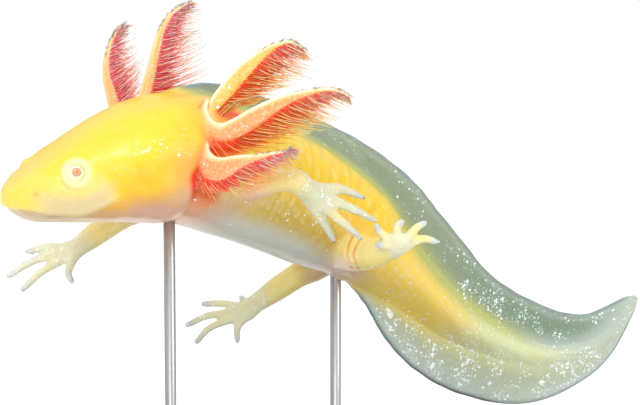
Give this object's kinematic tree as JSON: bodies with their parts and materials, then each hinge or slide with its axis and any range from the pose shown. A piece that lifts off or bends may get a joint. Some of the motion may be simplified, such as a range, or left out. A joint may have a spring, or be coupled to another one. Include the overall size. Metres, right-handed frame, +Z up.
{
  "type": "axolotl",
  "caption": "Life-size model of a golden axolotl in a swimming pose, with feathery gills, a finned tail and a plain display stand.",
  "frame": {"origin": "middle of the display base's underside", "axes": "+Z up; the animal's head looks towards -X and -Y and its tail trails towards +X and +Y"},
  "size_m": [0.1544, 0.1022, 0.1204],
  "materials": {
    "skin": "moist smooth golden skin",
    "limb": "moist pale yellow skin",
    "fin": "thin grey-green fin with white flecks",
    "gill": "feathery red filaments on yellow stalks",
    "eye": "wet, pale iris with an orange pupil",
    "stand_paint": "satin",
    "stand_steel": "brushed"
  },
  "bodies": {
    "root": {"head": "skin", "lower_jaw": "skin", "neck": "skin", "trunk_front": "skin", "trunk_rear": "skin", "hips": "skin", "tail_base": "skin", "tail_middle": "skin", "tail_tip": "skin", "back_fin_front": "fin", "back_fin_rear": "fin", "tail_fin_upper_base": "fin", "tail_fin_upper_middle": "fin", "tail_fin_upper_tip": "fin", "tail_fin_lower_base": "fin", "tail_fin_lower_middle": "fin", "tail_fin_lower_tip": "fin", "left_upper_arm": "limb", "left_forearm": "limb", "left_hand": "limb", "right_upper_arm": "limb", "right_forearm": "limb", "right_hand": "limb", "left_thigh": "limb", "left_shin": "limb", "left_foot": "limb", "right_thigh": "limb", "right_shin": "limb", "right_foot": "limb", "gill_left_upper": "gill", "gill_left_middle": "gill", "gill_left_lower": "gill", "gill_right_upper": "gill", "gill_right_middle": "gill", "gill_right_lower": "gill", "eye_left": "eye", "eye_right": "eye", "stand_base": "stand_paint", "stand_rod_front": "stand_steel", "stand_rod_rear": "stand_steel"}
  },
  "joints": []
}
